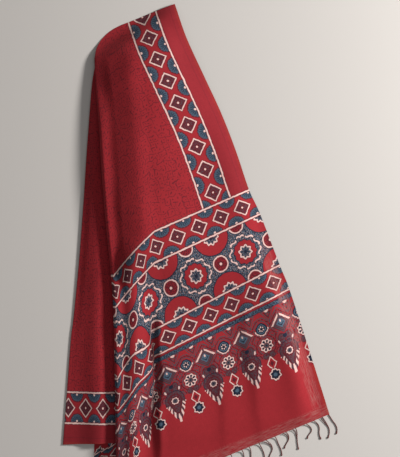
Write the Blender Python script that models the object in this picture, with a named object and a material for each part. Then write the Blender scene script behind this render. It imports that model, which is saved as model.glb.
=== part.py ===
"""Ajrakh dupatta: one printed length of fine cotton, folded lengthwise back and forth and laid on a
surface with its front panel uppermost, and the twisted fringe along the open end of that panel.

+X runs across the cloth, +Y up its length towards the shoulder fold, and +Z up from the surface.
The tables are in millimetres; a mesh is in metres.
"""

import math

import bpy
import numpy as np
from mathutils import Matrix

MM = 0.001

CLOTH_THICK = 1.0
LAYER_PITCH = 1.8  # height from one layer to the next, which leaves a gap between them
DRAPE_MARGIN = 10.0  # how far a layer stays level past the edge of one under it
DRAPE_WIDTH = 34.0  # and how far it then takes to come down
ROWS_FIRST_STATION = (0.0, 0.12, 0.28, 0.5, 0.75)
ROWS_LAST_STATION = (0.0, 0.35, 0.6, 0.75, 0.88, 1.0)
ROWS_PER_STATION = 3

# The lines that the cloth is folded along, one row for each station down its length. The front
# panel runs from its right selvedge over a valley and a narrow strip to the left fold; there the
# cloth turns under to a hidden tuck, and comes out again to the side panel's outer fold.
# roll is the open height of the fold at the left.
COLUMNS = (
    "right_x", "right_y", "valley_x", "valley_y", "strip_x", "strip_y", "fold_x", "fold_y",
    "tuck_x", "tuck_y", "side_x", "side_y", "roll",
)
STATIONS = (
    (-42, 483, -131, 448, -176, 421, -193, 381, -142, 374, -192, 366, 0),
    (-20, 419, -119, 379, -157, 355, -190, 329, -138, 325, -198, 329, 4),
    (13, 347, -108, 299, -149, 268, -183, 245, -130, 245, -204, 255, 8),
    (46, 276, -96, 219, -142, 183, -178, 160, -123, 166, -209, 185, 10),
    (74, 204, -87, 140, -132, 102, -171, 72, -115, 85, -214, 108, 10),
    (98, 133, -79, 55, -119, 15, -161, -28, -108, -4, -220, 28, 10),
    (119, 87, -79, -4, -119, -47, -157, -87, -104, -57, -224, -19, 10),
    (156, -9, -85, -132, -121, -177, -154, -221, -100, -160, -233, -110, 10),
    (174, -54, -80, -179, -119, -242, -153, -279, -98, -208, -238, -149, 10),
    (210, -164, -81, -291, -119, -344, -152, -381, -96, -279, -245, -242, 10),
    (250, -291, -79, -423, -117, -464, -151, -498, -94, -340, -253, -348, 8),
)

# The soft creases: each runs between two plan points, stands up by its height (a trough where that
# is negative), falls away over its width on each side and fades out past its ends.
CREASE_COLUMNS = ("from_x", "from_y", "to_x", "to_y", "height", "right_width", "left_width")
FRONT_CREASES = (
    (-100, 430, -90, 20, 24, 100, 70),
    (-66, -150, -62, -440, 12, 84, 12),
    (-118, -30, -119, -480, 12, 20, 30),
    (170, -90, 218, -275, 8, 16, 46),
    (95, -120, 132, -400, 3.2, 34, 13),
    (40, -200, 68, -440, 2.2, 26, 11),
)
SIDE_CREASES = ((-196, 240, -182, -330, 3, 14, 44),)
CREASE_END = 90.0
FOLD_SETTLE = 30.0
SELVEDGE_SETTLE = 42.0

# The folds of the layers underneath, each pair a little further out than the one above it.
# The right folds keep this far inside the front panel's selvedge, more towards the open end.
UNDER_PAIRS = 3
RIGHT_INSET_TOP = 8.0
RIGHT_INSET_END = 52.0
TOP_BACK = 0.45  # how far the right folds stop short of each end, in stations
END_BACK = 0.26
LEFT_INSET_TOP = 14.0
LEFT_INSET_END = 60.0
LEFT_END_Y = -460.0
PAIR_STEP = 8.0
LEFT_PAIR_STEP = 13.0

# Each layer of the folded cloth, from the top one down, with the fold lines it runs between.
# The columns are the line it starts at, the one it ends at, its spans across, and how they gather
# at the end that comes down over the layers below: at the start above 1, at the end below 1.
LAYERS = (
    ("right", "fold", 24, 1.0),
    ("fold", "tuck", 4, 1.0),
    ("tuck", "side", 7, 0.7),
    ("side", "right_1", 8, 2.0),
    ("right_1", "left_1", 1, 1.0),
    ("left_1", "right_2", 1, 1.0),
    ("right_2", "left_2", 1, 1.0),
    ("left_2", "right_3", 1, 1.0),
    ("right_3", "left_3", 1, 1.0),
)
VALLEY_SHARE = 14 / 24  # the share of the front panel's spans that lies right of the valley
SELVEDGE_CLOSER = 1.5
TURN_STEPS = 3

FRINGE_THICK = 1.2
FRINGE_LENGTH = 42.0
FRINGE_HEADER = 3.0
FRINGE_PITCH = 18.0
TASSEL_WIDTH = 3.0
TASSEL_HANG = 0.12  # the tassels' common direction, as an angle from straight down the length
TASSEL_LEAN = 0.08  # and how far each one leans from it
PIECE_GAP = 0.3


def clear_scene():
    for old in list(bpy.data.objects):
        bpy.data.objects.remove(old, do_unlink=True)


def cloth_material(name, color, roughness):
    material = bpy.data.materials.new(name)
    material.use_nodes = True
    shader = material.node_tree.nodes["Principled BSDF"]
    shader.inputs["Base Color"].default_value = (*color, 1.0)
    shader.inputs["Roughness"].default_value = roughness
    material.diffuse_color = (*color, 1.0)
    return material


def smooth_table(rows, at):
    """The table's rows read at any station number, on a smooth curve through them."""
    rows = np.asarray(rows, float)
    padded = np.vstack([2 * rows[0] - rows[1], rows, 2 * rows[-1] - rows[-2]])
    base = np.clip(np.floor(at).astype(int), 0, len(rows) - 2)
    t = (at - base)[:, None]
    before, start, end, after = (padded[base + step] for step in range(4))
    slope_in = (end - before) / 2
    slope_out = (after - start) / 2
    return (
        start * (1 + 2 * t) * (1 - t) ** 2
        + slope_in * t * (1 - t) ** 2
        + end * t * t * (3 - 2 * t)
        + slope_out * t * t * (t - 1)
    )


def fade(distance, width):
    """One at no distance, falling smoothly to nothing at the given width."""
    share = np.clip(1 - np.maximum(distance, 0) / width, 0, 1)
    return share * share * (3 - 2 * share)


def fold_lines(at):
    """Each fold line as plan points, one for each row, and the columns that aren't lines."""
    table = dict(zip(COLUMNS, smooth_table(STATIONS, at).T))
    lines = {
        name: np.stack([table[name + "_x"], table[name + "_y"]], axis=1)
        for name in ("right", "valley", "strip", "fold", "tuck", "side")
    }
    down = at / at[-1]
    inward = lines["valley"] - lines["right"]
    inward /= np.linalg.norm(inward, axis=1)[:, None]
    for pair in range(1, UNDER_PAIRS + 1):
        step = PAIR_STEP * (UNDER_PAIRS - pair)
        inset = step + RIGHT_INSET_TOP + (RIGHT_INSET_END - RIGHT_INSET_TOP) * down
        short = TOP_BACK + (at[-1] - TOP_BACK - END_BACK) * down
        shifted = dict(zip(COLUMNS, smooth_table(STATIONS, short).T))
        edge = np.stack([shifted["right_x"], shifted["right_y"]], axis=1)
        lines[f"right_{pair}"] = edge + inward * inset[:, None]
        left = lines["side"].copy()
        left[:, 0] += LEFT_PAIR_STEP * (UNDER_PAIRS - pair) + LEFT_INSET_TOP
        left[:, 0] += (LEFT_INSET_END - LEFT_INSET_TOP) * down**2
        left[:, 1] = left[0, 1] + (LEFT_END_Y + step - left[0, 1]) * down
        lines[f"left_{pair}"] = left
    return lines, table


def outward(line, to_right):
    """The unit plan vector that points out of the folded cloth, square to a fold line."""
    along = np.gradient(line, axis=0)
    along /= np.linalg.norm(along, axis=1)[:, None]
    side = np.stack([-along[:, 1], along[:, 0]], axis=1)
    return side if to_right else -side


def layer_plan(lines, starts_at, ends_at, spans, closer):
    """A layer's plan points: rows down the length by columns across it."""
    share = np.linspace(0, 1, spans + 1)
    if starts_at != "right":
        w = (share**closer if closer >= 1 else 1 - (1 - share) ** (1 / closer))[None, :, None]
        return lines[starts_at][:, None] * (1 - w) + lines[ends_at][:, None] * w
    right, valley, strip, fold = (lines[n][:, None] for n in ("right", "valley", "strip", "fold"))
    w = np.clip(share / VALLEY_SHARE, 0, 1)[None, :, None] ** SELVEDGE_CLOSER
    panel = right * (1 - w) + valley * w
    v = np.clip((share - VALLEY_SHARE) / (1 - VALLEY_SHARE), 0, 1)[None, :, None]
    narrow = valley * (1 - v) * (1 - 2 * v) + 4 * strip * v * (1 - v) + fold * v * (2 * v - 1)
    return np.where(v > 0, narrow, panel)


def outside_distance(points, outline):
    """How far each plan point lies outside a closed outline, zero for one inside it."""
    starts = outline
    steps = np.roll(outline, -1, axis=0) - starts
    to_point = points[:, None] - starts[None]
    along = (to_point * steps).sum(2) / np.maximum((steps * steps).sum(1), 1e-9)
    nearest = to_point - np.clip(along, 0, 1)[..., None] * steps
    distance = np.sqrt((nearest**2).sum(2)).min(1)
    ends = starts + steps
    spans_y = (starts[:, 1] > points[:, None, 1]) != (ends[:, 1] > points[:, None, 1])
    rise = np.where(steps[:, 1] == 0, 1e-9, steps[:, 1])
    cross_x = starts[:, 0] + (points[:, None, 1] - starts[:, 1]) * steps[:, 0] / rise
    inside = (spans_y & (cross_x > points[:, None, 0])).sum(1) % 2 == 1
    return np.where(inside, 0.0, distance)


def outline_of(plan):
    return np.concatenate([plan[0], plan[1:, -1], plan[-1, -2::-1], plan[-2:0:-1, 0]])


def crease_relief(points, creases):
    """The height that a table of creases gives plan points."""
    total = np.zeros(points.shape[:-1])
    for row in creases:
        crease = dict(zip(CREASE_COLUMNS, row))
        start = np.array([crease["from_x"], crease["from_y"]], float)
        step = np.array([crease["to_x"], crease["to_y"]], float) - start
        length = np.linalg.norm(step)
        x, y = points[..., 0] - start[0], points[..., 1] - start[1]
        along = (x * step[0] + y * step[1]) / length
        aside = (y * step[0] - x * step[1]) / length
        width = np.where(aside > 0, crease["right_width"], crease["left_width"])
        ends = fade(-along, CREASE_END) * fade(along - length, CREASE_END)
        total += crease["height"] * np.exp(-((aside / width) ** 2)) * ends
    return np.maximum(total, 0)


def front_relief(plan, table):
    """The front panel's own folds, which settle towards its selvedge, its ends and its left fold."""
    to_fold = np.linalg.norm(plan - plan[:, -1:], axis=2)
    to_right = np.linalg.norm(plan - plan[:, :1], axis=2)
    down = np.linspace(0, 1, len(plan))[:, None]
    ends = (1 - fade(down, 0.14)) * (1 - 0.6 * fade(1 - down, 0.08))
    folds = crease_relief(plan, FRONT_CREASES) * (1 - fade(to_right, SELVEDGE_SETTLE)) * ends
    near_fold = fade(to_fold - 4, FOLD_SETTLE)
    return folds * (1 - near_fold) + table["roll"][:, None] * near_fold


def side_relief(plan, front_outline):
    """The side panel's soft swelling, level where the front panel lies over it and at its outer fold."""
    outside = outside_distance(plan.reshape(-1, 2), front_outline).reshape(plan.shape[:2])
    to_side = np.linalg.norm(plan - plan[:, -1:], axis=2)
    clear = (1 - fade(outside - 4, 16)) * (1 - fade(to_side, 16))
    return crease_relief(plan, SIDE_CREASES) * clear


def upward_normals(points):
    down = np.gradient(points, axis=0)
    across = np.gradient(points, axis=1)
    normals = np.cross(across, down)
    normals /= np.linalg.norm(normals, axis=2)[..., None]
    return normals * np.where(normals[..., 2:] < 0, -1, 1)


def folded_surface(at):
    """The cloth's middle surface and its normals as one grid, from the front selvedge inwards."""
    lines, table = fold_lines(at)
    names = [layer[1] for layer in LAYERS[:-1]]
    to_right = {name: name.startswith("right") or name == "tuck" for name in names}
    out = {name: outward(lines[name], to_right[name]) for name in names}
    radius = {name: np.full(len(at), LAYER_PITCH / 2) for name in names}
    radius["fold"] = radius["fold"] + table["roll"] / 2
    for name in names:
        lines[name] = lines[name] - out[name] * radius[name][:, None]
    plans = [layer_plan(lines, *layer) for layer in LAYERS]
    outlines = [outline_of(plan) for plan in plans]
    grids = []
    for index, plan in enumerate(plans):
        flat = plan.reshape(-1, 2)
        under = sum(
            (
                fade(outside_distance(flat, outline) - DRAPE_MARGIN, DRAPE_WIDTH)
                for outline in outlines[index + 1 :]
            ),
            np.zeros(len(flat)),
        )
        height = (CLOTH_THICK / 2 + LAYER_PITCH * under).reshape(plan.shape[:2])
        if index == 0:
            height = height + front_relief(plan, table)
        if index == 2:
            height = height + side_relief(plan, outlines[0])
        grids.append(np.dstack([plan, height]))
    columns, normals = [], []
    for index, grid in enumerate(grids):
        facing = 1 if index % 2 == 0 else -1
        columns.append(grid)
        normals.append(upward_normals(grid) * facing)
        if index == len(grids) - 1:
            break
        name = names[index]
        upper, lower = grid[:, -1], grids[index + 1][:, 0]
        for step in range(1, TURN_STEPS):
            angle = math.pi * step / TURN_STEPS
            bulge = out[name] * radius[name][:, None] * math.sin(angle)
            middle = upper + (lower - upper) * (1 - math.cos(angle)) / 2
            middle[:, :2] += bulge
            normal = np.column_stack([out[name] * math.sin(angle), np.full(len(at), math.cos(angle))])
            columns.append(middle[:, None])
            normals.append(normal[:, None] * facing)
    return np.concatenate(columns, axis=1), np.concatenate(normals, axis=1)


def grid_faces(rows, columns):
    return [
        (i * columns + j, i * columns + j + 1, (i + 1) * columns + j + 1, (i + 1) * columns + j)
        for i in range(rows - 1)
        for j in range(columns - 1)
    ]


def thick_sheet(name, points, normals, faces, thickness, material):
    """One closed body: the surface set out by half its thickness both ways, with walls at its edges."""
    points = points.reshape(-1, 3)
    offset = normals.reshape(-1, 3) * thickness / 2
    count = len(points)
    edges = {}
    for face in faces:
        for a, b in zip(face, face[1:] + face[:1]):
            edges[a, b] = True
    rims = [(a, b) for a, b in edges if (b, a) not in edges]
    sides = [face[::-1] for face in faces]
    sides += [tuple(count + corner for corner in face) for face in faces]
    sides += [(a, b, count + b, count + a) for a, b in rims]
    mesh = bpy.data.meshes.new(name)
    mesh.from_pydata((np.vstack([points - offset, points + offset]) * MM).tolist(), [], sides)
    mesh.materials.append(material)
    mesh.update()
    mesh.shade_smooth()
    cloth = bpy.data.objects.new(name, mesh)
    bpy.context.scene.collection.objects.link(cloth)
    return cloth


def make_cloth():
    last = len(STATIONS) - 2
    middle = np.arange(1, last, 1 / ROWS_PER_STATION)
    at = np.concatenate([ROWS_FIRST_STATION, middle, last + np.array(ROWS_LAST_STATION)])
    points, normals = folded_surface(at)
    faces = grid_faces(*points.shape[:2])
    red = cloth_material("printed_cotton", (0.28, 0.02, 0.022), 0.85)
    thick_sheet("cloth", points, normals, faces, CLOTH_THICK, red)
    return points


def make_fringe(end_row):
    """A comb along the open end: a narrow header and one tassel for every pitch along it."""
    steps = np.linalg.norm(np.diff(end_row[:, :2], axis=0), axis=1)
    along = np.concatenate([[0], np.cumsum(steps)])
    count = int((along[-1] - TASSEL_WIDTH) // FRINGE_PITCH) + 1
    margin = (along[-1] - (count - 1) * FRINGE_PITCH) / 2
    centres = margin + FRINGE_PITCH * np.arange(count)
    half = TASSEL_WIDTH / 2
    cuts = np.sort(np.concatenate([[0, along[-1]], centres - half, centres + half]))
    edge = np.stack([np.interp(cuts, along, end_row[:, axis]) for axis in range(3)], axis=1)
    tangent = np.gradient(edge[:, :2], axis=0)
    tangent /= np.linalg.norm(tangent, axis=1)[:, None]
    square = np.stack([-tangent[:, 1], tangent[:, 0]], axis=1)

    floor = FRINGE_THICK / 2
    level = np.maximum(edge[:, 2], floor)
    clear = CLOTH_THICK / 2 + PIECE_GAP
    points, faces = [], []

    def add_row(offset, heights, chosen):
        first = len(points)
        for i in chosen:
            x, y = edge[i, :2] + square[i] * clear + offset
            points.append((x, y, heights[i]))
        return list(range(first, len(points)))

    everything = range(len(cuts))
    near = add_row(np.zeros(2), level, everything)
    far = add_row(np.array([0.0, -FRINGE_HEADER]), level, everything)
    for i in range(len(cuts) - 1):
        faces.append((near[i], near[i + 1], far[i + 1], far[i]))
    for tassel in range(count):
        pair = (2 * tassel + 1, 2 * tassel + 2)
        last = [far[pair[0]], far[pair[1]]]
        angle = TASSEL_HANG + TASSEL_LEAN * math.sin(2.4 * tassel)
        hang = np.array([math.sin(angle), -math.cos(angle)])
        for share in (0.35, 1.0):
            reach = share * (FRINGE_LENGTH - FRINGE_HEADER)
            heights = floor + (level - floor) * (1 - share) * 0.5
            row = add_row(hang * reach + np.array([0.0, -FRINGE_HEADER]), heights, pair)
            faces.append((last[0], last[1], row[1], row[0]))
            last = row
    normals = np.tile([0.0, 0.0, 1.0], (len(points), 1))
    brown = cloth_material("twisted_thread", (0.10, 0.014, 0.012), 0.8)
    thick_sheet("fringe", np.array(points), normals, faces, FRINGE_THICK, brown)


def centre_on_origin():
    """Moves both pieces so that the origin is at the middle of the box around them, on the surface."""
    pieces = list(bpy.context.scene.objects)
    corners = np.array([tuple(v.co) for piece in pieces for v in piece.data.vertices])
    low, high = corners.min(axis=0), corners.max(axis=0)
    shift = Matrix.Translation((-(low[0] + high[0]) / 2, -(low[1] + high[1]) / 2, -low[2]))
    for piece in pieces:
        piece.data.transform(shift)


def main():
    clear_scene()
    cloth = make_cloth()
    front_columns = LAYERS[0][2] + 1
    make_fringe(cloth[-1, :front_columns])
    centre_on_origin()


main()
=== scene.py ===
"""Folded ajrakh dupatta: a block-printed cotton cloth laid in its folds, with its twisted fringe."""

import math

import bpy
import numpy as np
from bpy.props import FloatProperty, FloatVectorProperty, IntProperty, PointerProperty
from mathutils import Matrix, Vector


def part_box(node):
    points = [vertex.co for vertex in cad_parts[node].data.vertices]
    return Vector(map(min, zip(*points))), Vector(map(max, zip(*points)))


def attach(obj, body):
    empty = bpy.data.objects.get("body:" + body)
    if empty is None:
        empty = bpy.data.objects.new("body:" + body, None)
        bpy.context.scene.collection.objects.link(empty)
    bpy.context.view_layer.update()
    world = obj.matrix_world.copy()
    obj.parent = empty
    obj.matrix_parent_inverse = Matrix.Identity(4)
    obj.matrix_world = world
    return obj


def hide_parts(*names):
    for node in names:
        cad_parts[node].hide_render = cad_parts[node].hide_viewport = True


bl_info = {
    "name": "Folded Ajrakh Dupatta",
    "version": (1, 0, 0),
    "blender": (4, 5, 0),
    "location": "3D View > Sidebar > Ajrakh",
    "description": "Lays a block-printed cotton dupatta in its folds, with its fringe",
    "category": "Add Mesh",
}

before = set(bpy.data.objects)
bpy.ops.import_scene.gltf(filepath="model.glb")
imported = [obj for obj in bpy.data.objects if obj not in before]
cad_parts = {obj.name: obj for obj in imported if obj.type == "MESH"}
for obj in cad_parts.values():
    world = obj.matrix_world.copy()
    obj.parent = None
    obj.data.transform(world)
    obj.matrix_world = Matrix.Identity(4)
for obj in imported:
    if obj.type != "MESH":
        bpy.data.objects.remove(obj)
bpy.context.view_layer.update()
CLOTH_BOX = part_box("cloth")
FRINGE_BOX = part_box("fringe")

MM = 0.001

# The lines that the cloth is folded along, in millimetres, one row for each station down its
# length. The front panel runs from its right selvedge over a valley and a narrow strip to the left
# fold; there the cloth turns under to a hidden tuck, and comes out again to the side panel's outer
# fold. roll is the open height of the fold at the left.
COLUMNS = (
    "right_x", "right_y", "valley_x", "valley_y", "strip_x", "strip_y", "fold_x", "fold_y",
    "tuck_x", "tuck_y", "side_x", "side_y", "roll",
)
STATIONS = (
    (-42, 483, -131, 448, -176, 421, -193, 381, -142, 374, -192, 366, 0),
    (-20, 419, -119, 379, -157, 355, -190, 329, -138, 325, -198, 329, 4),
    (13, 347, -108, 299, -149, 268, -183, 245, -130, 245, -204, 255, 8),
    (46, 276, -96, 219, -142, 183, -178, 160, -123, 166, -209, 185, 10),
    (74, 204, -87, 140, -132, 102, -171, 72, -115, 85, -214, 108, 10),
    (98, 133, -79, 55, -119, 15, -161, -28, -108, -4, -220, 28, 10),
    (119, 87, -79, -4, -119, -47, -157, -87, -104, -57, -224, -19, 10),
    (156, -9, -85, -132, -121, -177, -154, -221, -100, -160, -233, -110, 10),
    (174, -54, -80, -179, -119, -242, -153, -279, -98, -208, -238, -149, 10),
    (210, -164, -81, -291, -119, -344, -152, -381, -96, -279, -245, -242, 10),
    (250, -291, -79, -423, -117, -464, -151, -498, -94, -340, -253, -348, 8),
)

# The soft creases: each runs between two plan points, stands up by its height (a trough where that
# is negative), falls away over its width on each side and fades out past its ends.
CREASE_COLUMNS = ("from_x", "from_y", "to_x", "to_y", "height", "right_width", "left_width")
FRONT_CREASES = (
    (-100, 430, -90, 20, 24, 100, 70),
    (-66, -150, -62, -440, 12, 84, 12),
    (-118, -30, -119, -480, 12, 20, 30),
    (170, -90, 218, -275, 8, 16, 46),
    (95, -120, 132, -400, 3.2, 34, 13),
    (40, -200, 68, -440, 2.2, 26, 11),
)
SIDE_CREASES = ((-196, 240, -182, -330, 3, 14, 44),)
CREASE_END = 90.0
FOLD_SETTLE = 30.0
SELVEDGE_SETTLE = 42.0
TOP_SETTLE = 0.14  # shares of the front panel's length
END_SETTLE = 0.08
END_SETTLED = 0.6
ROLL_FLAT = 4.0  # how far from an edge the cloth stays level
SIDE_SETTLE = 16.0
TABLE_RIGHT = 250.0
TABLE_TOP = 483.0

UNDER_PAIRS = 3
RIGHT_INSET_TOP = 8.0
RIGHT_INSET_END = 52.0
TOP_BACK = 0.45
END_BACK = 0.26
LEFT_INSET_TOP = 14.0
LEFT_INSET_END = 60.0
LEFT_END_Y = -460.0
PAIR_STEP = 8.0
LEFT_PAIR_STEP = 13.0
DRAPE_MARGIN = 10.0
DRAPE_WIDTH = 34.0

# Each layer from the top one down: the fold lines it runs between and its spans across.
LAYERS = (
    ("right", "fold", 150),
    ("fold", "tuck", 10),
    ("tuck", "side", 42),
    ("side", "right_1", 30),
    ("right_1", "left_1", 2),
    ("left_1", "right_2", 2),
    ("right_2", "left_2", 2),
    ("left_2", "right_3", 2),
    ("right_3", "left_3", 2),
)
VALLEY_SHARE = 96 / 150
TURN_STEPS = 5
ROWS_PER_STATION = 30
SURFACE_LIFT = 0.5  # the lowest layer's height above the table

# A small pleat along the valley shifts the print on the strip beside it, up to this height.
PLEAT_JUMP = 16.0
PLEAT_TOP = 340.0
PLEAT_FADE = 60.0
PLEAT_EDGE = 7.0
PLEAT_TAKE_UP = 0.18

# How the print lies on the cloth, in millimetres: bands are measured up from the open end, and
# the side border in from the selvedge.
TOP_LINE = 450.0
MEDALLION_TOP = 400.0
MEDALLION_END = 297.0
LOWER_LINE = 248.0
SIDE_LINE = 38.5
SIDE_END = 94.0
LINE_WIDTH = 2.7
DIAMOND_PITCH = 44.4
MEDALLION_PITCH = 103.4
PENDANT_PITCH = 78.0
NET_PITCH = 10.5
PENDANT_DROP = 149.0
SIDE_DIAMOND_UP = 472.0  # where a diamond of the side border is centred
FIRST_DIAMOND_ACROSS = 26.0  # and where one of each cross border is
SECOND_DIAMOND_ACROSS = 24.0
FIRST_MEDALLION_ACROSS = 52.0
FIRST_PENDANT_ACROSS = 36.0

# The side panel carries the side border across its end. At this plan point its print is at the
# selvedge and this far up, and the rates are print millimetres for each millimetre of plan.
SIDE_PRINT_X = -212.4
SIDE_PRINT_Y = -348.0
SIDE_PRINT_UP = 912.0
SIDE_UP_RATE = 1.34
SIDE_ACROSS_RATE = 0.95

# Where the print starts on the hidden layers, and how much of it the first one takes.
HIDDEN_UP = 150.0
HIDDEN_ACROSS = 120.0
HIDDEN_RUN = 300.0


def to_linear(r, g, b):
    """A screen colour, 0 to 255, as linear light."""
    return tuple(
        c / 12.92 if c <= 0.04045 else ((c + 0.055) / 1.055) ** 2.4 for c in (r / 255, g / 255, b / 255)
    )


# --------------------
# Sizes and colours


class ClothSettings(bpy.types.PropertyGroup):
    """The cloth's cut size and how its layers lie."""

    flat_width: FloatProperty(
        name="Width", description="Selvedge to selvedge", default=0.91, unit="LENGTH"
    )
    flat_length: FloatProperty(name="Length", description="End to end", default=2.3, unit="LENGTH")
    layer_pitch: FloatProperty(
        name="Layer pitch", description="Height from one layer to the next", default=0.0018, unit="LENGTH"
    )
    crease_height: FloatProperty(
        name="Crease height", description="Scales the soft creases", default=1.0, min=0.0, max=2.0
    )
    red: FloatVectorProperty(
        name="Red", description="Madder ground", subtype="COLOR",
        default=to_linear(146, 34, 41), min=0, max=1,
    )
    maroon: FloatVectorProperty(
        name="Maroon", description="Overdyed red", subtype="COLOR",
        default=to_linear(88, 24, 34), min=0, max=1,
    )
    cream: FloatVectorProperty(
        name="Cream", description="Resist lines", subtype="COLOR",
        default=to_linear(216, 180, 173), min=0, max=1,
    )
    teal: FloatVectorProperty(
        name="Blue grey", description="Pale indigo", subtype="COLOR",
        default=to_linear(70, 88, 104), min=0, max=1,
    )
    navy: FloatVectorProperty(
        name="Navy", description="Deep indigo", subtype="COLOR",
        default=to_linear(27, 31, 48), min=0, max=1,
    )
    olive: FloatVectorProperty(
        name="Iron grey", description="Iron black printed thin", subtype="COLOR",
        default=to_linear(74, 65, 72), min=0, max=1,
    )
    edge: FloatVectorProperty(
        name="Selvedge", description="Brighter red", subtype="COLOR",
        default=to_linear(152, 44, 40), min=0, max=1,
    )


class FringeSettings(bpy.types.PropertyGroup):
    """The twisted threads along the open end."""

    pitch: FloatProperty(name="Pitch", description="Between tassels", default=0.018, unit="LENGTH")
    length: FloatProperty(name="Length", description="Of a tassel", default=0.047, unit="LENGTH")
    ply_radius: FloatProperty(
        name="Ply radius", description="Of one ply", default=0.0005, unit="LENGTH"
    )
    turns: FloatProperty(name="Turns", description="Twists in a tassel", default=7.0)
    seed: IntProperty(name="Seed", description="Sets how the tassels stray", default=7)
    brown: FloatVectorProperty(
        name="Thread", description="Dyed thread", subtype="COLOR",
        default=to_linear(108, 42, 38), min=0, max=1,
    )


class StageSettings(bpy.types.PropertyGroup):
    """The floor, the lights and the camera above."""

    lens: FloatProperty(name="Lens", description="Focal length in millimetres", default=100.0)
    view_width: FloatProperty(
        name="View width", description="Across the view", default=0.755, unit="LENGTH"
    )
    view_x: FloatProperty(
        name="View centre X", description="In the cloth's table", default=0.0057, unit="LENGTH"
    )
    view_y: FloatProperty(
        name="View centre Y", description="In the cloth's table", default=0.0595, unit="LENGTH"
    )
    floor: FloatVectorProperty(
        name="Floor", description="Pale floor", subtype="COLOR", default=(0.56, 0.53, 0.505), min=0, max=1
    )


# --------------------
# The folded surface


def smooth_table(rows, at):
    """The table's rows read at any station number, on a smooth curve through them."""
    rows = np.asarray(rows, float)
    padded = np.vstack([2 * rows[0] - rows[1], rows, 2 * rows[-1] - rows[-2]])
    base = np.clip(np.floor(at).astype(int), 0, len(rows) - 2)
    t = (at - base)[:, None]
    before, start, end, after = (padded[base + step] for step in range(4))
    slope_in = (end - before) / 2
    slope_out = (after - start) / 2
    return (
        start * (1 + 2 * t) * (1 - t) ** 2
        + slope_in * t * (1 - t) ** 2
        + end * t * t * (3 - 2 * t)
        + slope_out * t * t * (t - 1)
    )


def fade(distance, width):
    """One at no distance, falling smoothly to nothing at the given width."""
    share = np.clip(1 - np.maximum(distance, 0) / width, 0, 1)
    return share * share * (3 - 2 * share)


def fold_lines(at):
    """Each fold line as plan points, one for each row, and the columns that aren't lines."""
    table = dict(zip(COLUMNS, smooth_table(STATIONS, at).T))
    lines = {
        name: np.stack([table[name + "_x"], table[name + "_y"]], axis=1)
        for name in ("right", "valley", "strip", "fold", "tuck", "side")
    }
    down = at / at[-1]
    inward = lines["valley"] - lines["right"]
    inward /= np.linalg.norm(inward, axis=1)[:, None]
    for pair in range(1, UNDER_PAIRS + 1):
        step = PAIR_STEP * (UNDER_PAIRS - pair)
        inset = step + RIGHT_INSET_TOP + (RIGHT_INSET_END - RIGHT_INSET_TOP) * down
        short = TOP_BACK + (at[-1] - TOP_BACK - END_BACK) * down
        shifted = dict(zip(COLUMNS, smooth_table(STATIONS, short).T))
        edge = np.stack([shifted["right_x"], shifted["right_y"]], axis=1)
        lines[f"right_{pair}"] = edge + inward * inset[:, None]
        left = lines["side"].copy()
        left[:, 0] += LEFT_PAIR_STEP * (UNDER_PAIRS - pair) + LEFT_INSET_TOP
        left[:, 0] += (LEFT_INSET_END - LEFT_INSET_TOP) * down**2
        left[:, 1] = left[0, 1] + (LEFT_END_Y + step - left[0, 1]) * down
        lines[f"left_{pair}"] = left
    return lines, table


def outward(line, to_right):
    """The unit plan vector that points out of the folded cloth, square to a fold line."""
    along = np.gradient(line, axis=0)
    along /= np.linalg.norm(along, axis=1)[:, None]
    side = np.stack([-along[:, 1], along[:, 0]], axis=1)
    return side if to_right else -side


def layer_plan(lines, starts_at, ends_at, spans):
    """A layer's plan points: rows down the length by columns across it."""
    share = np.linspace(0, 1, spans + 1)
    if starts_at != "right":
        w = share[None, :, None]
        return lines[starts_at][:, None] * (1 - w) + lines[ends_at][:, None] * w
    right, valley, strip, fold = (lines[n][:, None] for n in ("right", "valley", "strip", "fold"))
    w = np.clip(share / VALLEY_SHARE, 0, 1)[None, :, None]
    panel = right * (1 - w) + valley * w
    v = np.clip((share - VALLEY_SHARE) / (1 - VALLEY_SHARE), 0, 1)[None, :, None]
    narrow = valley * (1 - v) * (1 - 2 * v) + 4 * strip * v * (1 - v) + fold * v * (2 * v - 1)
    return np.where(v > 0, narrow, panel)


def outside_distance(points, outline):
    """How far each plan point lies outside a closed outline, zero for one inside it."""
    nearest_squared = np.full(len(points), np.inf)
    crossings = np.zeros(len(points), int)
    for start, end in zip(outline, np.roll(outline, -1, axis=0)):
        step = end - start
        to_point = points - start
        along = np.clip(to_point @ step / max(step @ step, 1e-9), 0, 1)
        gap = to_point - along[:, None] * step
        nearest_squared = np.minimum(nearest_squared, (gap**2).sum(1))
        if start[1] != end[1]:
            level = (start[1] > points[:, 1]) != (end[1] > points[:, 1])
            cross_x = start[0] + (points[:, 1] - start[1]) * step[0] / step[1]
            crossings += level & (cross_x > points[:, 0])
    return np.where(crossings % 2 == 1, 0.0, np.sqrt(nearest_squared))


def outline_of(plan):
    every = max(1, ROWS_PER_STATION // 3)
    right, left = plan[1:-1:every, 0], plan[1:-1:every, -1]
    top = plan[0, :: max(1, plan.shape[1] // 4)]
    return np.concatenate([top, plan[:1, -1], left, plan[-1:, -1], plan[-1:, 0], right[::-1]])


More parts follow.
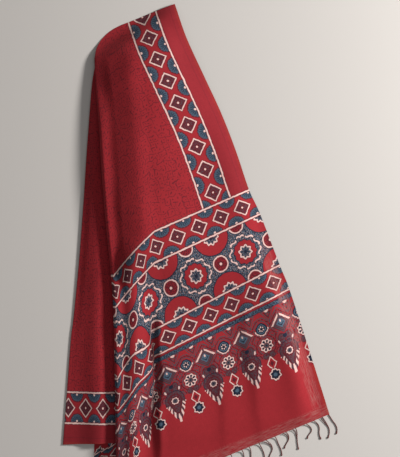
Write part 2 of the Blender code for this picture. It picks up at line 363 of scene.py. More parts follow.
def crease_relief(points, creases):
    """The height that a table of creases gives plan points."""
    total = np.zeros(points.shape[:-1])
    for row in creases:
        crease = dict(zip(CREASE_COLUMNS, row))
        start = np.array([crease["from_x"], crease["from_y"]], float)
        step = np.array([crease["to_x"], crease["to_y"]], float) - start
        length = np.linalg.norm(step)
        x, y = points[..., 0] - start[0], points[..., 1] - start[1]
        along = (x * step[0] + y * step[1]) / length
        aside = (y * step[0] - x * step[1]) / length
        aside = aside + 3 * np.sin(along / 41 + row[0]) + 2 * np.sin(along / 19 + row[1])
        width = np.where(aside > 0, crease["right_width"], crease["left_width"])
        ends = fade(-along, CREASE_END) * fade(along - length, CREASE_END)
        total += crease["height"] * np.exp(-((aside / width) ** 2)) * ends
    return np.maximum(total, 0)


def front_relief(plan, table):
    """The front panel's own folds, which settle towards its selvedge, its ends and its left fold."""
    to_fold = np.linalg.norm(plan - plan[:, -1:], axis=2)
    to_right = np.linalg.norm(plan - plan[:, :1], axis=2)
    down = np.linspace(0, 1, len(plan))[:, None]
    ends = (1 - fade(down, TOP_SETTLE)) * (1 - END_SETTLED * fade(1 - down, END_SETTLE))
    folds = crease_relief(plan, FRONT_CREASES) * (1 - fade(to_right, SELVEDGE_SETTLE)) * ends
    near_fold = fade(to_fold - ROLL_FLAT, FOLD_SETTLE)
    return folds * (1 - near_fold) + table["roll"][:, None] * near_fold


def side_relief(plan, front_outline):
    """The side panel's soft swelling, level where the front panel lies over it and at its outer fold."""
    outside = outside_distance(plan.reshape(-1, 2), front_outline).reshape(plan.shape[:2])
    to_side = np.linalg.norm(plan - plan[:, -1:], axis=2)
    clear = (1 - fade(outside - ROLL_FLAT, SIDE_SETTLE)) * (1 - fade(to_side, SIDE_SETTLE))
    return crease_relief(plan, SIDE_CREASES) * clear


def print_places(lines, plans, at):
    """Each layer's print coordinates in millimetres: up from the open end, and in from the selvedge."""
    right = lines["right"]
    steps = np.linalg.norm(np.diff(right, axis=0), axis=1)
    from_end = (steps.sum() - np.concatenate([[0], np.cumsum(steps)]))[:, None]
    places = []
    for index, plan in enumerate(plans):
        widths = np.linalg.norm(np.diff(plan, axis=1), axis=2)
        across = np.concatenate([np.zeros((len(plan), 1)), np.cumsum(widths, axis=1)], axis=1)
        if index == 0:
            valley = round(VALLEY_SHARE * (plan.shape[1] - 1))
            beyond = np.maximum(across - across[:, valley : valley + 1], 0)
            across = across + PLEAT_TAKE_UP * beyond
            jump = PLEAT_JUMP * fade(from_end - PLEAT_TOP + PLEAT_FADE, PLEAT_FADE)
            up = from_end + jump * (1 - fade(beyond, PLEAT_EDGE)) * fade(beyond - PLEAT_EDGE, PLEAT_FADE)
        elif index == 2:
            up = SIDE_PRINT_UP + SIDE_UP_RATE * (plan[..., 0] - SIDE_PRINT_X)
            across = SIDE_ACROSS_RATE * (plan[..., 1] - SIDE_PRINT_Y)
        else:
            up = HIDDEN_UP + from_end + np.zeros_like(across)
            across = HIDDEN_ACROSS + across
        places.append(np.dstack([up, across]))
    share = np.linspace(0, 1, places[1].shape[1])[None, :, None]
    places[1] = places[0][:, -1:] * (1 - share) + places[2][:, :1] * share
    run = np.linspace(0, HIDDEN_RUN, places[3].shape[1])[None, :, None]
    places[3] = places[2][:, -1:] - run * [1, 0]
    return places


def folded_surface(at, pitch, crease_height):
    """The cloth's surface as one grid with its print coordinates, from the front selvedge inwards."""
    lines, table = fold_lines(at)
    names = [layer[1] for layer in LAYERS[:-1]]
    to_right = {name: name.startswith("right") or name == "tuck" for name in names}
    out = {name: outward(lines[name], to_right[name]) for name in names}
    radius = {name: np.full(len(at), pitch / 2) for name in names}
    radius["fold"] = radius["fold"] + table["roll"] / 2
    for name in names:
        lines[name] = lines[name] - out[name] * radius[name][:, None]
    plans = [layer_plan(lines, *layer) for layer in LAYERS]
    places = print_places(lines, plans, at)
    outlines = [outline_of(plan) for plan in plans]
    columns, marks, grids = [], [], []
    for index, plan in enumerate(plans):
        flat = plan.reshape(-1, 2)
        height = np.full(len(flat), SURFACE_LIFT)
        for outline in outlines[index + 1 :]:
            height += pitch * fade(outside_distance(flat, outline) - DRAPE_MARGIN, DRAPE_WIDTH)
        height = height.reshape(plan.shape[:2])
        if index == 0:
            height = height + front_relief(plan, table) * crease_height
        if index == 2:
            height = height + side_relief(plan, outlines[0]) * crease_height
        grids.append(np.dstack([plan, height]))
    for index, grid in enumerate(grids):
        columns.append(grid)
        marks.append(places[index])
        if index == len(grids) - 1:
            break
        name = names[index]
        upper, lower = grid[:, -1], grids[index + 1][:, 0]
        for step in range(1, TURN_STEPS):
            angle = math.pi * step / TURN_STEPS
            middle = upper + (lower - upper) * (1 - math.cos(angle)) / 2
            middle[:, :2] += out[name] * radius[name][:, None] * math.sin(angle)
            columns.append(middle[:, None])
            reach = (radius[name] * angle)[:, None] * ([1, 0] if name == "side" else [0, 1])
            marks.append((places[index][:, -1] + reach * (-1 if name == "side" else 1))[:, None])
    return np.concatenate(columns, axis=1), np.concatenate(marks, axis=1)


def table_shift():
    """What moves the table's plan onto the frame, in millimetres."""
    return np.array([CLOTH_BOX[1][0] / MM - TABLE_RIGHT, CLOTH_BOX[1][1] / MM - TABLE_TOP, 0.0])


def add_piece(name, mesh, node):
    piece = bpy.data.objects.new(name, mesh)
    bpy.context.scene.collection.objects.link(piece)
    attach(piece, "root")
    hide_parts(node)
    return piece


# --------------------
# Shader maths


class Value:
    """A shader socket that Python arithmetic can be written with."""

    def __init__(self, graph, socket):
        self.graph = graph
        self.socket = socket

    def __add__(self, other):
        return self.graph.maths("ADD", self, other)

    __radd__ = __add__

    def __sub__(self, other):
        return self.graph.maths("SUBTRACT", self, other)

    def __rsub__(self, other):
        return self.graph.maths("SUBTRACT", other, self)

    def __mul__(self, other):
        return self.graph.maths("MULTIPLY", self, other)

    __rmul__ = __mul__

    def __truediv__(self, other):
        return self.graph.maths("DIVIDE", self, other)

    def __abs__(self):
        return self.graph.maths("ABSOLUTE", self)

    def __lt__(self, other):
        return self.graph.maths("LESS_THAN", self, other)

    def __gt__(self, other):
        return self.graph.maths("GREATER_THAN", self, other)


class Graph:
    """A material's nodes."""

    def __init__(self, name, roughness):
        self.material = bpy.data.materials.new(name)
        self.material.use_nodes = True
        self.tree = self.material.node_tree
        self.shader = self.tree.nodes["Principled BSDF"]
        self.shader.inputs["Roughness"].default_value = roughness

    def node(self, kind, settings=None, inputs=None, output=0):
        made = self.tree.nodes.new(kind)
        for key, value in (settings or {}).items():
            setattr(made, key, value)
        for key, value in (inputs or {}).items():
            self.feed(made.inputs[key], value)
        return Value(self, made.outputs[output])

    def feed(self, socket, value):
        if isinstance(value, Value):
            self.tree.links.new(value.socket, socket)
        else:
            socket.default_value = value

    def maths(self, operation, *values, clamp=False):
        settings = {"operation": operation, "use_clamp": clamp}
        return self.node("ShaderNodeMath", settings, dict(enumerate(values)))

    def mix(self, share, first, second):
        first, second = ((*c, 1.0) if isinstance(c, tuple) else c for c in (first, second))
        return self.node("ShaderNodeMix", {"data_type": "RGBA"}, {0: share, 6: first, 7: second}, 2)

    def blend(self, share, first, second):
        """A number between two others."""
        return self.node("ShaderNodeMix", {"data_type": "FLOAT"}, {0: share, 2: first, 3: second}, 0)

    def noise(self, place, scale, detail=2.0, output=0):
        inputs = {"Vector": place, "Scale": scale, "Detail": detail}
        return self.node("ShaderNodeTexNoise", None, inputs, output)

    def inside(self, distance, soft=0.8):
        """One where the distance is negative, with a soft edge."""
        return self.maths("MULTIPLY_ADD", distance, -1 / soft, 0.5, clamp=True)

    def length(self, x, y):
        return self.maths("SQRT", self.maths("MULTIPLY_ADD", x, x, y * y))

    def angle(self, x, y):
        return self.maths("ARCTAN2", y, x)

    def smaller(self, a, b):
        return self.maths("MINIMUM", a, b)

    def larger(self, a, b):
        return self.maths("MAXIMUM", a, b)

    def to_nearest(self, place, pitch, phase=0.0):
        """The signed distance to the nearest of the marks that stand a pitch apart."""
        return self.maths("WRAP", place - phase, -pitch / 2, pitch / 2)

    def points(self, angle, count):
        """A wave from 0 to 1 round a centre, with this many sharp points."""
        return self.maths("PINGPONG", angle * (count / (2 * math.pi)), 0.5) * 2


def paint(graph, colour, distance, over, soft=0.8):
    """Prints one colour over another where the distance is negative."""
    return graph.mix(graph.inside(distance, soft), over, colour)


def field_marks(graph, place, up, across, worn):
    """The field's fine maze of short dark lines, with a dot in each of its meshes."""
    sway = (graph.noise(place, 70.0, 1.0) - 0.5) * 14.0
    maze = graph.noise(place, 105.0, 1.0)
    along, aside = up - sway, across + sway
    gone = (0.38 - worn) * 14.0
    lengthways = graph.larger(abs(graph.to_nearest(aside, NET_PITCH)) - 0.56, (0.47 - maze) * 24.0)
    crossways = graph.larger(abs(graph.to_nearest(along, NET_PITCH)) - 0.56, (maze - 0.53) * 24.0)
    lines = graph.larger(graph.smaller(lengthways, crossways), gone)
    half = NET_PITCH / 2
    middle = graph.length(
        graph.to_nearest(along, NET_PITCH, half), graph.to_nearest(aside, NET_PITCH, half)
    )
    return graph.inside(graph.smaller(lines, middle - 1.15), 0.9)


def lattice_band(graph, cloth, along, across, grain):
    """A border: diamonds down its middle, and half flowers between them at both edges."""
    half = DIAMOND_PITCH / 2
    a = abs(graph.to_nearest(along, DIAMOND_PITCH))
    b = abs(across)
    colour = cloth["red"]
    flower_x = half - a
    flower_y = 27.0 - b
    flower = graph.length(flower_x, flower_y)
    turn = graph.angle(flower_y, flower_x)
    around = graph.points(turn, 18)
    petals = graph.mix(graph.inside(0.5 - grain, 0.2) * 0.4, cloth["teal"], cloth["navy"])
    rays = graph.larger(graph.larger(0.56 - around, (flower - 12.2) * 0.1), (3.0 - flower) * 0.1)
    petals = graph.mix(graph.inside(rays, 0.5), petals, cloth["navy"])
    petals = graph.mix(graph.inside(flower - 4.6), petals, cloth["navy"])
    colour = paint(graph, cloth["maroon"], flower - 17.4, colour)
    colour = graph.mix(graph.inside(flower - 14.8 - around * 1.6), colour, petals)
    colour = paint(graph, cloth["cream"], graph.length(flower_x, flower_y - 3.2) - 2.1, colour)
    diamond = a * 1.03 + b - 18.0
    colour = paint(graph, cloth["maroon"], diamond - 1.3, colour)
    colour = paint(graph, cloth["cream"], diamond, colour)
    fill = graph.mix(graph.inside(0.55 - grain, 0.1), cloth["maroon"], cloth["olive"])
    fill = graph.mix(graph.inside(abs(diamond + 7.2) - 0.9), fill, cloth["maroon"])
    colour = graph.mix(graph.inside(diamond + 3.1), colour, fill)
    centre = graph.length(a, b)
    colour = paint(graph, cloth["maroon"], centre - 4.0, colour)
    colour = paint(graph, cloth["cream"], centre - 1.9, colour)
    return colour


def star(graph, cloth, distance, turn, count, ground, over):
    """A pointed rosette outlined in cream, with a dark eye."""
    edge = distance - graph.points(turn, count) * 3.4
    over = paint(graph, cloth["maroon"], edge - 11.6, over)
    over = paint(graph, cloth["cream"], edge - 10.7, over)
    over = graph.mix(graph.inside(edge - 7.8), over, ground)
    petals = graph.larger(distance - 7.4, 0.5 - graph.points(turn, count))
    over = graph.mix(graph.inside(petals) * 0.55, over, cloth["navy"])
    return paint(graph, cloth["navy"], distance - 2.8, over)


def medallion_band(graph, cloth, across, up, grain, mottle):
    """The wide band: star rosettes in broken chains, half rosettes at its edges, ringed discs."""
    half = MEDALLION_PITCH / 2
    tall = (MEDALLION_TOP - MEDALLION_END) / 2
    x = abs(graph.to_nearest(across, MEDALLION_PITCH, FIRST_MEDALLION_ACROSS))
    y = abs(up - (MEDALLION_TOP + MEDALLION_END) / 2)
    ground = graph.mix(graph.inside(0.47 - mottle, 0.22), cloth["teal"], cloth["navy"])
    ground = graph.mix(graph.inside(0.6 - grain, 0.1) * 0.4, ground, cloth["cream"])
    colour = ground
    middle = graph.length(x, y)
    turn = graph.angle(x, y)
    gap = graph.points(turn, 12)
    wave = graph.maths("SINE", turn * 10.0) * 2.2
    chain = graph.larger(abs(middle - 28.6 - wave) - 1.5, (0.14 - graph.points(turn, 10)) * 9.0)
    colour = paint(graph, cloth["navy"], chain - 0.9, colour)
    colour = paint(graph, cloth["cream"], chain, colour)
    colour = paint(graph, cloth["navy"], middle - 21.6 - gap * 2.2, colour)
    colour = paint(graph, cloth["red"], middle - 20.2 - gap * 2.2, colour)
    colour = star(graph, cloth, middle, turn, 8, ground, colour)
    edge_x = half - x
    edge_y = tall - y
    edge = graph.length(edge_x, edge_y)
    edge_turn = graph.angle(edge_x, edge_y)
    colour = paint(graph, cloth["navy"], edge - 34.4, colour)
    colour = paint(graph, cloth["red"], edge - 32.8, colour)
    colour = star(graph, cloth, edge - 2.2, edge_turn, 10, ground, colour)
    disc = graph.smaller(graph.length(edge_x, y), graph.length(x, edge_y))
    colour = paint(graph, cloth["navy"], disc - 16.2, colour)
    colour = paint(graph, cloth["cream"], disc - 15.0, colour)
    disc_fill = graph.mix(graph.inside(0.55 - grain, 0.1), cloth["maroon"], cloth["red"])
    colour = graph.mix(graph.inside(disc - 12.6), colour, disc_fill)
    colour = paint(graph, cloth["maroon"], disc - 4.6, colour)
    colour = paint(graph, cloth["cream"], disc - 2.3, colour)
    return colour


def pendant_row(graph, cloth, across, below, mottle):
    """The hanging row: tall leaf pendants with small flower stacks between them, on red."""
    p = abs(graph.to_nearest(across, PENDANT_PITCH, FIRST_PENDANT_ACROSS))
    r = PENDANT_PITCH / 2 - p
    s = below
    thin = graph.mix(graph.inside(0.5 - mottle, 0.24), cloth["olive"], cloth["maroon"])
    head = p + abs(s - 49.0) - 18.6
    first = graph.length(r, s - 45.0)
    first_shape = graph.larger((r + abs(s - 45.0) - 15.0) * 0.75, first - 11.6)
    lobes = graph.length(p - 7.0, (s - 77.0) * 0.75) - 6.4
    second = graph.length(r, s - 78.0)
    taper = graph.maths("POWER", graph.larger(s - 103.0, 0.0) / 43.0, 1.25)
    leaf = graph.smaller(
        graph.length(p, s - 103.0) - 18.4, graph.larger(p - (1 - taper) * 18.4, abs(s - 124.0) - 21.0)
    )

    # nested outlines that follow the shapes, broken into curls
    near = graph.smaller(graph.smaller(head * 0.72, first_shape), graph.smaller(lobes, second - 12.6))
    near = graph.smaller(near, graph.larger(leaf, 96.0 - s))
    kept = graph.larger(graph.larger(s - 101.0, 12.0 - s), (0.44 - mottle) * 24.0)
    colour = paint(graph, cloth["olive"], graph.larger(abs(near - 3.2) - 1.1, kept), cloth["red"])
    colour = paint(graph, cloth["maroon"], graph.larger(abs(near - 5.9) - 1.1, kept), colour)
    colour = paint(graph, cloth["olive"], graph.larger(abs(near - 8.8) - 1.1, kept), colour)

    # buds and their outlined triangles under the band
    q = abs(p - PENDANT_PITCH / 4)
    wedge = graph.larger(q + (s - 16) * 0.62 - 13.0, 15 - s)
    for step, name in ((0.0, "olive"), (1.8, "red"), (3.4, "maroon"), (5.2, "olive"), (6.8, "red")):
        colour = paint(graph, cloth[name], wedge + step, colour)
    bud = graph.larger(graph.length(q, s - 15) - 4.2, 14.8 - s)
    colour = paint(graph, cloth["cream"], bud, colour)

    # the tall pendant's head, its waist of two lobes, and the cream dashes beside it
    colour = paint(graph, cloth["maroon"], head - 1.6, colour)
    rings = (
        (0.0, "olive"), (2.6, "maroon"), (4.4, "olive"), (6.8, "maroon"), (8.6, "teal"), (12.6, "navy"),
    )
    for step, name in rings:
        colour = paint(graph, cloth[name], head + step, colour)
    lit = graph.larger(graph.larger(abs(head + 0.4) - 2.2, s - 49.5), 1.8 - p)
    colour = paint(graph, cloth["cream"], lit, colour)
    colour = paint(graph, cloth["teal"], graph.length(p, (s - 46.0) * 0.8) - 4.6, colour)
    colour = paint(graph, cloth["cream"], graph.length(p, (s - 44.5) * 0.6) - 1.5, colour)
    colour = paint(graph, cloth["maroon"], lobes - 1.3, colour)
    colour = graph.mix(graph.inside(lobes), colour, thin)
    colour = paint(graph, cloth["navy"], graph.length(p, s - 74.0) - 4.0, colour)
    dash = graph.length((p - 14.0) * 1.3, (s - 82.0 + (p - 14.0) * 0.7) * 0.8) - 2.5
    colour = paint(graph, cloth["navy"], dash - 0.9, colour)
    colour = paint(graph, cloth["cream"], dash, colour)

    # its leaf, feathered in cream below
    feathers = graph.points(graph.angle(p, s - 88.0), 36)
    colour = paint(graph, cloth["navy"], leaf - 1.3, colour)
    colour = graph.mix(graph.inside(leaf), colour, thin)
    colour = paint(graph, cloth["maroon"], abs(leaf + 6.0) - 1.2, colour)
    feather = graph.larger(graph.larger(abs(leaf + 0.4) - 3.2, (feathers - 0.5) * 4.0), 110.0 - s)
    colour = paint(graph, cloth["cream"], feather, colour)
    rosette = graph.length(p, s - 104.0)
    petal = graph.points(graph.angle(p, s - 104.0), 9)
    colour = paint(graph, cloth["maroon"], rosette - 9.6, colour)
    colour = paint(graph, cloth["cream"], rosette - 6.0 - petal * 1.5, colour)
    colour = paint(graph, cloth["olive"], rosette - 4.8, colour)
    colour = paint(graph, cloth["navy"], rosette - 1.8, colour)
    colour = paint(graph, cloth["cream"], graph.larger(p - 1.4, abs(s - 138.0) - 7.0), colour)

    # the small stack: a blue flower, a cream-edged one, a lozenge and a last flower
    scallops = graph.points(graph.angle(r, s - 45.0), 14) * 1.2
    lower_edge = graph.larger(first_shape - 1.3 - scallops, 46.0 - s)
    colour = paint(graph, cloth["cream"], lower_edge, colour)
    colour = paint(graph, cloth["navy"], first_shape, colour)
    colour = paint(graph, cloth["teal"], abs(first_shape + 3.6) - 1.0, colour)
    ring = graph.larger(abs(first - 3.9) - 1.2, (0.5 - graph.points(graph.angle(r, s - 45.0), 6)) * 3.0)
    colour = paint(graph, cloth["cream"], ring, colour)
    round_second = graph.angle(r, s - 78.0)
    second_points = graph.points(round_second, 8)
    colour = paint(graph, cloth["maroon"], second - 12.2 - second_points * 2.6, colour)
    colour = paint(graph, cloth["cream"], second - 10.8 - second_points * 2.6, colour)
    loops = graph.larger(abs(second - 8.0) - 2.6, (0.42 - second_points) * 4.0)
    colour = paint(graph, cloth["navy"], loops, colour)
    colour = paint(graph, cloth["maroon"], second - 5.2, colour)
    colour = paint(graph, cloth["olive"], second - 4.0, colour)
    colour = paint(graph, cloth["navy"], second - 1.8, colour)
    curls = graph.length(r - 6.0, (s - 97.0) * 0.9) - 5.0
    colour = paint(graph, cloth["maroon"], curls - 1.2, colour)
    colour = graph.mix(graph.inside(curls), colour, thin)
    last = graph.length(r, s - 136.0)
    last_points = graph.points(graph.angle(r, s - 136.0), 7)
    lozenge = r * 1.45 + abs(s - 114.0) - 14.6
    colour = paint(graph, cloth["maroon"], lozenge - 1.4, colour)
    colour = paint(graph, cloth["cream"], lozenge, colour)
    colour = paint(graph, cloth["red"], lozenge + 3.3, colour)
    colour = paint(graph, cloth["maroon"], lozenge + 9.0, colour)
    colour = paint(graph, cloth["maroon"], last - 10.4 - last_points * 3.0, colour)
    colour = paint(graph, cloth["cream"], last - 9.2 - last_points * 3.0, colour)
    colour = paint(graph, cloth["navy"], last - 7.2 - last_points * 2.4, colour)
    return paint(graph, cloth["teal"], last - 3.6, colour)


def printed_cotton(settings):
    """Fine cotton, printed from coordinates in millimetres up from the open end and in from the edge, with
    painted shade on its long margins.
    """
    graph = Graph("printed_cotton", 0.86)
    cloth = {
        name: tuple(getattr(settings, name))
        for name in ("red", "maroon", "cream", "teal", "navy", "olive", "edge")
    }
    place = graph.node("ShaderNodeUVMap", {"uv_map": "print"})
    # The block prints a little unevenly, so its edges wander by a fraction of a millimetre.
    stray = graph.noise(place, 160.0, 1.0, 1)
    centred = graph.node("ShaderNodeVectorMath", {"operation": "SUBTRACT"}, {0: stray, 1: (0.5, 0.5, 0.5)})
    strayed = graph.node(
        "ShaderNodeVectorMath", {"operation": "MULTIPLY_ADD"}, {0: centred, 1: (0.0024,) * 3, 2: place}
    )
    up = graph.node("ShaderNodeSeparateXYZ", None, {0: strayed}, 0) * 1000.0
    across = graph.node("ShaderNodeSeparateXYZ", None, {0: strayed}, 1) * 1000.0
    grain = graph.noise(place, 520.0, 1.0)
    mottle = graph.noise(place, 330.0, 2.0)

    above = graph.inside(TOP_LINE - up)
    middle_first = (TOP_LINE + MEDALLION_TOP) / 2
    middle_second = (MEDALLION_END + LOWER_LINE) / 2
    in_second = up < (MEDALLION_END + MEDALLION_TOP) / 2
    lengthways = up > TOP_LINE
    band_middle = graph.blend(in_second, middle_first, middle_second)
    phase = graph.blend(in_second, FIRST_DIAMOND_ACROSS, SECOND_DIAMOND_ACROSS)
    along = graph.blend(lengthways, across - phase, up - SIDE_DIAMOND_UP)
    aside = graph.blend(lengthways, (up - band_middle) * 1.1, across - (SIDE_LINE + SIDE_END) / 2)
    lattice = lattice_band(graph, cloth, along, aside, grain)

    worn = graph.noise(place, 42.0, 2.0)
    marks = field_marks(graph, place, up, across, worn) * 0.9
    field = graph.mix(marks, cloth["red"], cloth["maroon"])
    side_border = graph.larger(SIDE_LINE - across, across - SIDE_END)
    margin = paint(graph, cloth["edge"], across - 4.5, cloth["red"], 3.0)
    margin = graph.mix(graph.inside(abs(across - 13.0) - 0.8) * 0.3, margin, cloth["maroon"])
    # Painted shade: along the long sides, the margin outside the side border is mixed a third of the way
    # towards maroon, so its red is darker than the cloth's own.
    upper = graph.mix(graph.inside(across - SIDE_END), field, graph.mix(0.34, margin, cloth["maroon"]))
    upper = graph.mix(graph.inside(side_border), upper, lattice)
    for line in (SIDE_LINE, SIDE_END):
        upper = paint(graph, cloth["maroon"], abs(across - line) - LINE_WIDTH * 0.95, upper)
        upper = paint(graph, cloth["cream"], abs(across - line) - LINE_WIDTH / 2, upper)

    below = LOWER_LINE - up
    pendants = pendant_row(graph, cloth, across, below, mottle)
    colour = graph.mix(graph.inside(PENDANT_DROP - below), pendants, margin)
    stripe = graph.mix(graph.inside(0.5 - mottle, 0.2), cloth["teal"], cloth["navy"])
    colour = graph.mix(graph.inside(below - 14.6), colour, cloth["navy"])
    colour = graph.mix(graph.inside(below - 13.6), colour, stripe)
    colour = graph.mix(graph.inside(below - 6.6), colour, cloth["maroon"])
    colour = graph.mix(graph.inside(below - 4.8), colour, cloth["red"])
    colour = graph.mix(graph.inside(below), colour, lattice)
    medallions = medallion_band(graph, cloth, across, up, grain, mottle)
    colour = graph.mix(graph.inside(MEDALLION_END - up), colour, medallions)
    colour = graph.mix(graph.inside(MEDALLION_TOP - up), colour, lattice)
    colour = graph.mix(above, colour, upper)
    for line in (TOP_LINE, MEDALLION_TOP, MEDALLION_END, LOWER_LINE):
        colour = paint(graph, cloth["maroon"], abs(up - line) - LINE_WIDTH * 0.95, colour)
        colour = paint(graph, cloth["cream"], abs(up - line) - LINE_WIDTH / 2, colour)

    # Slubs in the yarn run both ways and lighten or darken the dye a little.
    warp = graph.noise(graph.node("ShaderNodeMapping", None, {0: place, 3: (1.0, 14.0, 1.0)}), 60.0, 2.0)
    weft = graph.noise(graph.node("ShaderNodeMapping", None, {0: place, 3: (14.0, 1.0, 1.0)}), 60.0, 2.0)
    cloudy = graph.noise(place, 9.0, 3.0)
    tone = (warp + weft) * 0.34 + cloudy * 0.36 + 0.5
    shade = graph.node("ShaderNodeCombineXYZ", None, {0: tone, 1: tone, 2: tone})

    # Where the cloth is a single layer at its edges, its threads have drawn apart and look paler.
    end_sheer = up - 20.0
    drawn = graph.inside(graph.smaller(graph.larger(7.0 - across, across - 27.0), end_sheer), 5.0)
    drawn = drawn * graph.inside(up - 330.0, 60.0)
    threads_apart = graph.blend(graph.inside(end_sheer, 6.0), warp, weft)
    streaks = drawn * graph.maths("MULTIPLY_ADD", threads_apart, 5.0, -2.1, clamp=True)
    colour = graph.mix(streaks * 0.45, colour, graph.mix(0.3, cloth["edge"], cloth["cream"]))
    multiply = {"data_type": "RGBA", "blend_type": "MULTIPLY"}
    toned = graph.node("ShaderNodeMix", multiply, {0: 1.0, 6: colour, 7: shade}, 2)
    graph.feed(graph.shader.inputs["Base Color"], toned)

    graph.feed(graph.shader.inputs["Alpha"], 1 - streaks * 0.2)

    threads = (warp + weft) * 0.5 + graph.noise(place, 900.0, 2.0) * 0.5
    bump = graph.node("ShaderNodeBump", None, {"Strength": 0.35, "Distance": 0.0006, "Height": threads})
    graph.feed(graph.shader.inputs["Normal"], bump)
    graph.shader.inputs["Specular IOR Level"].default_value = 0.15
    graph.shader.inputs["Sheen Weight"].default_value = 0.05
    graph.shader.inputs["Sheen Roughness"].default_value = 0.5
    return graph.material


def thread_material(settings):
    """Twisted cotton thread, flecked darker at random."""
    graph = Graph("twisted_thread", 0.8)
    brown = tuple(settings.brown)
    place = graph.node("ShaderNodeTexCoord", None, None, 3)
    fleck = graph.noise(place, 700.0, 2.0)
    dark = tuple(c * 0.5 for c in brown)
    graph.feed(graph.shader.inputs["Base Color"], graph.mix(fleck, dark, brown))
    bump = graph.node("ShaderNodeBump", None, {"Strength": 0.5, "Distance": 0.0004, "Height": fleck})
    graph.feed(graph.shader.inputs["Normal"], bump)
    return graph.material


# --------------------
# Pieces

# How a tassel is made, in points along it and in millimetres.
TASSEL_START = 1.5
TASSEL_END = 1.0
TASSEL_POINTS = 46
TASSEL_DROP = 9  # the power that its fall to the table follows
PLY_APART = 0.9  # as a share of the ply's own radius
SECOND_CHANCE = 0.4
SECOND_POINTS = 26
SECOND_APART = 5.0
THREAD_SIDES = 6
KNOT_POINTS = 7
KNOT_SIDES = 8
TABLE_GAP = 0.05

# The floor, in metres: how far it runs, and how far it lies under the cloth.
FLOOR_REACH = 12.0
FLOOR_DROP = 0.0002


def cloth_surface(settings):
    last = len(STATIONS) - 1
    at = np.linspace(0, last, last * ROWS_PER_STATION + 1)
    return folded_surface(at, settings.layer_pitch / MM, settings.crease_height)


class AJRAKH_OT_cloth(bpy.types.Operator):
    """Fold the printed cloth back and forth and lay it down."""

    bl_idname = "ajrakh.cloth"
    bl_label = "Cloth"

    def execute(self, context):
        settings = context.scene.ajrakh_cloth
        surface, marks = cloth_surface(settings)
        rows, columns = surface.shape[:2]
        points = ((surface + table_shift()) * MM).reshape(-1, 3)
        index = np.arange(rows * columns).reshape(rows, columns)
        faces = np.stack([index[:-1, :-1], index[1:, :-1], index[1:, 1:], index[:-1, 1:]], axis=2)
        mesh = bpy.data.meshes.new("printed_cloth")
        mesh.from_pydata(points.tolist(), [], faces.reshape(-1, 4).tolist())
        layer = mesh.uv_layers.new(name="print")
        corners = np.empty(len(mesh.loops), np.int32)
        mesh.loops.foreach_get("vertex_index", corners)
        layer.data.foreach_set("uv", (marks.reshape(-1, 2)[corners] * MM).ravel().astype(np.float32))
        mesh.shade_smooth()
        mesh.materials.append(printed_cotton(settings))
        cloth = add_piece("printed_cloth", mesh, "cloth")
        return {"FINISHED"}


def tube_rings(path, radius, sides=THREAD_SIDES):
    """Rings of points round a path."""
    along = np.gradient(path, axis=0)
    along /= np.linalg.norm(along, axis=1)[:, None]
    flat = np.cross(along, [0.0, 0.0, 1.0])
    flat /= np.maximum(np.linalg.norm(flat, axis=1), 1e-6)[:, None]
    raised = np.cross(flat, along)
    turns = np.linspace(0, 2 * math.pi, sides, endpoint=False)
    radius = np.broadcast_to(radius, len(path))
    return path[:, None] + radius[:, None, None] * (
        flat[:, None] * np.cos(turns)[None, :, None] + raised[:, None] * np.sin(turns)[None, :, None]
    )


def tube_faces(first, rings, sides):
    faces = []
    for i in range(rings - 1):
        for j in range(sides):
            a = first + i * sides + j
            b = first + i * sides + (j + 1) % sides
            faces.append((a, b, b + sides, a + sides))
    faces.append(tuple(first + j for j in reversed(range(sides))))
    faces.append(tuple(first + (rings - 1) * sides + j for j in range(sides)))
    return faces


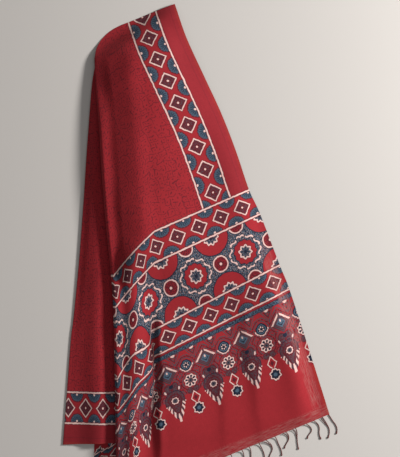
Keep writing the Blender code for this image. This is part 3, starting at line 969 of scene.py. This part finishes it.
class AJRAKH_OT_fringe(bpy.types.Operator):
    """Twist the loose warp threads into tassels along the open end."""

    bl_idname = "ajrakh.fringe"
    bl_label = "Fringe"

    def execute(self, context):
        settings = context.scene.ajrakh_fringe
        surface = cloth_surface(context.scene.ajrakh_cloth)[0]
        end = surface[-1, : LAYERS[0][2] + 1] + table_shift()
        rng = np.random.default_rng(settings.seed)
        steps = np.linalg.norm(np.diff(end[:, :2], axis=0), axis=1)
        along = np.concatenate([[0], np.cumsum(steps)])
        pitch = settings.pitch / MM
        length = settings.length / MM
        ply = settings.ply_radius / MM
        points, faces = [], []
        place = TASSEL_START
        while place < along[-1] - TASSEL_END:
            root = np.array([np.interp(place, along, end[:, axis]) for axis in range(3)])
            reach = length * rng.uniform(0.7, 1.0)
            t = np.linspace(0, 1, TASSEL_POINTS)
            leave, end_at = rng.uniform(0.3, 1.0), rng.uniform(-0.4, 0.1)
            curl = rng.uniform(-0.55, 0.55) * np.sin(t * rng.uniform(5, 9) + place)
            angle = end_at + (leave - end_at) * (1 - t) ** 1.5 + curl
            steps_out = np.column_stack([np.sin(angle), -np.cos(angle)]) * reach / (len(t) - 1)
            plan = root[:2] + np.cumsum(steps_out, axis=0) - steps_out[0]
            side = np.column_stack([np.cos(angle), np.sin(angle)])
            lie = 1.7 * ply
            height = lie + np.maximum(root[2] - lie, 0) * (1 - t) ** TASSEL_DROP
            height += 0.15 * np.sin(t * 9 + place) ** 2 * t
            line = np.column_stack([plan, height])
            turn = t * settings.turns * 2 * math.pi
            for half in (0, math.pi):
                wind = np.zeros_like(line)
                wind[:, :2] = side * (np.cos(turn + half) * ply * PLY_APART)[:, None]
                wind[:, 2] = np.sin(turn + half) * ply * PLY_APART
                thick = ply * (1 + 0.15 * np.sin(t * 23 + half))
                rings = tube_rings(line + wind, thick)
                faces += tube_faces(len(points), len(line), THREAD_SIDES)
                points += rings.reshape(-1, 3).tolist()
            # Some tassels gather a second thread, which joins them half way down.
            if rng.uniform() < SECOND_CHANCE:
                beside = (end[-1] - root) / np.linalg.norm(end[-1] - root) * SECOND_APART
                joins = (1 - t[:SECOND_POINTS] / t[SECOND_POINTS - 1])[:, None]
                rings = tube_rings(line[:SECOND_POINTS] + beside * joins, ply * PLY_APART)
                faces += tube_faces(len(points), SECOND_POINTS, THREAD_SIDES)
                points += rings.reshape(-1, 3).tolist()
            knot = np.linspace(-1, 1, KNOT_POINTS)
            knot_line = line[-4] + (line[-1] - line[-4]) * knot[:, None] * 0.7
            thick = 0.35 + ply * 2.3 * np.sqrt(1 - 0.96 * knot**2)
            rings = tube_rings(knot_line, thick, KNOT_SIDES)
            faces += tube_faces(len(points), KNOT_POINTS, KNOT_SIDES)
            points += rings.reshape(-1, 3).tolist()
            place += pitch * rng.uniform(0.72, 1.28)
        points = np.array(points)
        points[:, 2] = np.maximum(points[:, 2], TABLE_GAP)
        points[:, 1] = np.maximum(points[:, 1], FRINGE_BOX[0][1] / MM)
        mesh = bpy.data.meshes.new("fringe_threads")
        mesh.from_pydata((points * MM).tolist(), [], faces)
        mesh.shade_smooth()
        mesh.materials.append(thread_material(settings))
        add_piece("fringe_threads", mesh, "fringe")
        return {"FINISHED"}


def soft_light(name, place, aim, size, power, colour):
    light = bpy.data.lights.new(name, "AREA")
    light.shape = "DISK"
    light.size = size
    light.energy = power
    light.color = colour
    lamp = bpy.data.objects.new(name, light)
    lamp.location = place
    lamp.rotation_euler = (Vector(aim) - Vector(place)).to_track_quat("-Z", "Y").to_euler()
    bpy.context.scene.collection.objects.link(lamp)


class AJRAKH_OT_stage(bpy.types.Operator):
    """Lay the floor, set the soft lights and hang the camera above."""

    bl_idname = "ajrakh.stage"
    bl_label = "Stage"

    def execute(self, context):
        settings = context.scene.ajrakh_stage
        scene = context.scene
        graph = Graph("pale_floor", 0.9)
        place = graph.node("ShaderNodeTexCoord", None, None, 3)
        cloud = graph.noise(place, 3.0, 3.0)
        pale = tuple(settings.floor)
        worn = tuple(c * 0.985 for c in pale)
        graph.feed(graph.shader.inputs["Base Color"], graph.mix(cloud, worn, pale))
        mesh = bpy.data.meshes.new("floor")
        square = ((-1, -1), (1, -1), (1, 1), (-1, 1))
        corners = [(x * FLOOR_REACH, y * FLOOR_REACH, 0) for x, y in square]
        mesh.from_pydata(corners, [], [(0, 1, 2, 3)])
        mesh.materials.append(graph.material)
        floor = bpy.data.objects.new("floor", mesh)
        floor.location.z = -FLOOR_DROP
        scene.collection.objects.link(floor)

        middle = (0.0, 0.0, 0.0)
        soft_light("key", (2.2, 0.8, 1.12), middle, 0.5, 112, (1.0, 0.985, 0.96))
        soft_light("fill", (0.6, -1.2, 2.4), middle, 2.2, 9, (0.97, 0.98, 1.0))
        world = bpy.data.worlds.new("studio")
        world.use_nodes = True
        world.node_tree.nodes["Background"].inputs[0].default_value = (1.0, 0.99, 0.98, 1.0)
        world.node_tree.nodes["Background"].inputs[1].default_value = 0.2
        scene.world = world
        scene.view_settings.view_transform = "Standard"

        shift = table_shift() * MM
        camera_data = bpy.data.cameras.new("above")
        camera_data.lens = settings.lens
        camera_data.sensor_fit = "HORIZONTAL"
        camera_data.sensor_width = 36.0
        camera = bpy.data.objects.new("above", camera_data)
        height = settings.view_width * settings.lens / camera_data.sensor_width
        camera.location = (settings.view_x + shift[0], settings.view_y + shift[1], height)
        scene.collection.objects.link(camera)
        scene.camera = camera
        return {"FINISHED"}


class AJRAKH_PT_panel(bpy.types.Panel):
    """The steps that make the cloth."""

    bl_label = "Ajrakh Dupatta"
    bl_space_type = "VIEW_3D"
    bl_region_type = "UI"
    bl_category = "Ajrakh"

    def draw(self, context):
        for group, step in (
            (context.scene.ajrakh_fringe, AJRAKH_OT_fringe),
            (context.scene.ajrakh_cloth, AJRAKH_OT_cloth),
            (context.scene.ajrakh_stage, AJRAKH_OT_stage),
        ):
            box = self.layout.box()
            for name in group.bl_rna.properties.keys():
                if name not in {"rna_type", "name"}:
                    box.prop(group, name)
            box.operator(step.bl_idname)


GROUPS = {"ajrakh_cloth": ClothSettings, "ajrakh_fringe": FringeSettings, "ajrakh_stage": StageSettings}
CLASSES = (*GROUPS.values(), AJRAKH_OT_cloth, AJRAKH_OT_fringe, AJRAKH_OT_stage, AJRAKH_PT_panel)


def register():
    for cls in CLASSES:
        bpy.utils.register_class(cls)
    for name, group in GROUPS.items():
        setattr(bpy.types.Scene, name, PointerProperty(type=group))


def unregister():
    for name in GROUPS:
        delattr(bpy.types.Scene, name)
    for cls in reversed(CLASSES):
        bpy.utils.unregister_class(cls)


def main():
    register()
    bpy.ops.ajrakh.fringe()
    bpy.ops.ajrakh.cloth()
    bpy.ops.ajrakh.stage()


if __name__ == "__main__":
    main()
